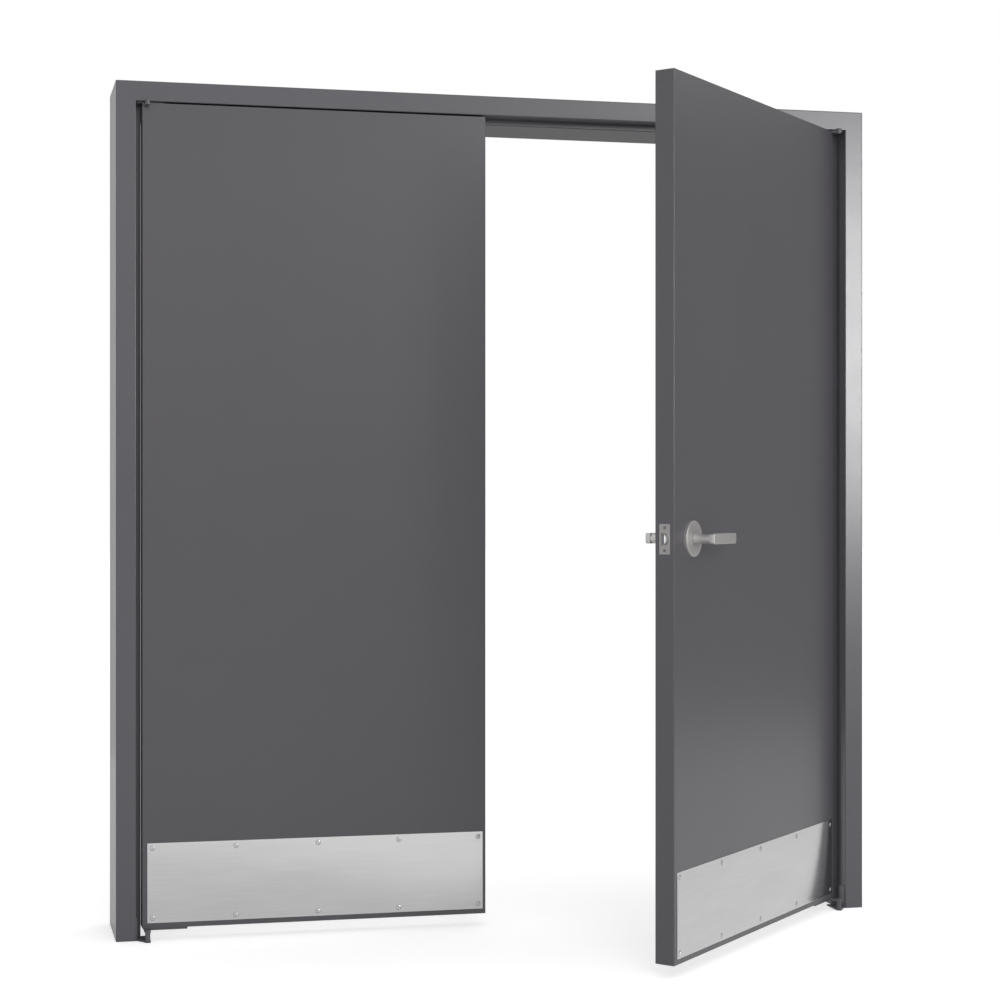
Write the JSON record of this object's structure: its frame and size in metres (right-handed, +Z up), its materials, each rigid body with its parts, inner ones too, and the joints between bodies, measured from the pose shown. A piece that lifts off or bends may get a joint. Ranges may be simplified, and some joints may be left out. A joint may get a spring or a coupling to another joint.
{
  "type": "hollow metal double door",
  "caption": "Pressed-steel frame with an unequal pair of hollow metal leaves on offset pivots, lever latchset on the active leaf and stainless kick plates.",
  "frame": {"origin": "centre of the left floor anchor's sole, midway across the left jamb, on the floor", "axes": "+X right along the opening, +Y into the wall away from the pull side, +Z up"},
  "size_m": [2.032, 0.9359, 2.1844],
  "materials": {
    "frame_paint": "satin grey enamel",
    "leaf_paint": "satin grey enamel",
    "pivot_paint": "satin grey enamel",
    "brushed_kick_steel": "horizontal satin grain",
    "satin_hardware_steel": "satin",
    "bright_bolt_steel": "bright",
    "zinc_plated_steel": "zinc plated"
  },
  "bodies": {
    "frame": {"frame_head": "frame_paint", "head_back_plate": "frame_paint", "left_bottom_pivot_bracket": "pivot_paint", "left_floor_anchor": "zinc_plated_steel", "left_jamb": "frame_paint", "left_jamb_back_plate": "frame_paint", "left_top_pivot_bracket": "pivot_paint", "right_bottom_pivot_bracket": "pivot_paint", "right_floor_anchor": "zinc_plated_steel", "right_jamb": "frame_paint", "right_jamb_back_plate": "frame_paint", "right_top_pivot_bracket": "pivot_paint"},
    "left_leaf": {"left_bottom_channel": "leaf_paint", "left_bottom_pivot_arm": "pivot_paint", "left_lock_edge_lower_channel": "leaf_paint", "left_lock_edge_strike_channel": "leaf_paint", "left_lock_edge_upper_channel": "leaf_paint", "left_pull_kick_plate": "brushed_kick_steel", "left_pull_sheet": "leaf_paint", "left_push_kick_plate": "brushed_kick_steel", "left_push_sheet": "leaf_paint", "left_top_channel": "leaf_paint", "left_top_pivot_arm": "pivot_paint", "strike_plate": "satin_hardware_steel", "strike_box": "zinc_plated_steel"},
    "right_leaf": {"latch_case": "zinc_plated_steel", "latch_faceplate": "satin_hardware_steel", "lock_body": "zinc_plated_steel", "pull_rose": "satin_hardware_steel", "push_rose": "satin_hardware_steel", "right_bottom_channel": "leaf_paint", "right_bottom_pivot_arm": "pivot_paint", "right_lock_edge_channel": "leaf_paint", "right_pull_kick_plate": "brushed_kick_steel", "right_pull_sheet": "leaf_paint", "right_push_kick_plate": "brushed_kick_steel", "right_push_sheet": "leaf_paint", "right_top_channel": "leaf_paint", "right_top_pivot_arm": "pivot_paint"},
    "levers": {"pull_lever": "satin_hardware_steel", "push_lever": "satin_hardware_steel", "spindle": "zinc_plated_steel"},
    "latch": {"latch_bolt": "bright_bolt_steel"}
  },
  "joints": [
    {"name": "left_swing", "type": "hinge", "parent": "frame", "child": "left_leaf", "pos_m": [0.0529, -0.1395, 0], "axis": [0, 0, -1], "range_deg": [0, 120]},
    {"name": "right_swing", "type": "hinge", "parent": "frame", "child": "right_leaf", "pos_m": [1.9283, -0.1395, 0], "axis": [0, 0, 1], "range_deg": [-45, 75]},
    {"name": "lever_turn", "type": "hinge", "parent": "right_leaf", "child": "levers", "pos_m": [1.26677, -0.734, 1.028], "axis": [-0.7071, 0.7071, 0], "range_deg": [0, 50], "stiffness_Nm_per_rad": 1, "springref_deg": -45.84},
    {"name": "latch_slide", "type": "slide", "parent": "right_leaf", "child": "latch", "axis": [0.7071, 0.7071, 0], "range_m": [0, 0.0127]}
  ],
  "couplings": [
    {"joint": "latch_slide", "follows": "lever_turn", "m_per_rad": 0.01375}
  ]
}
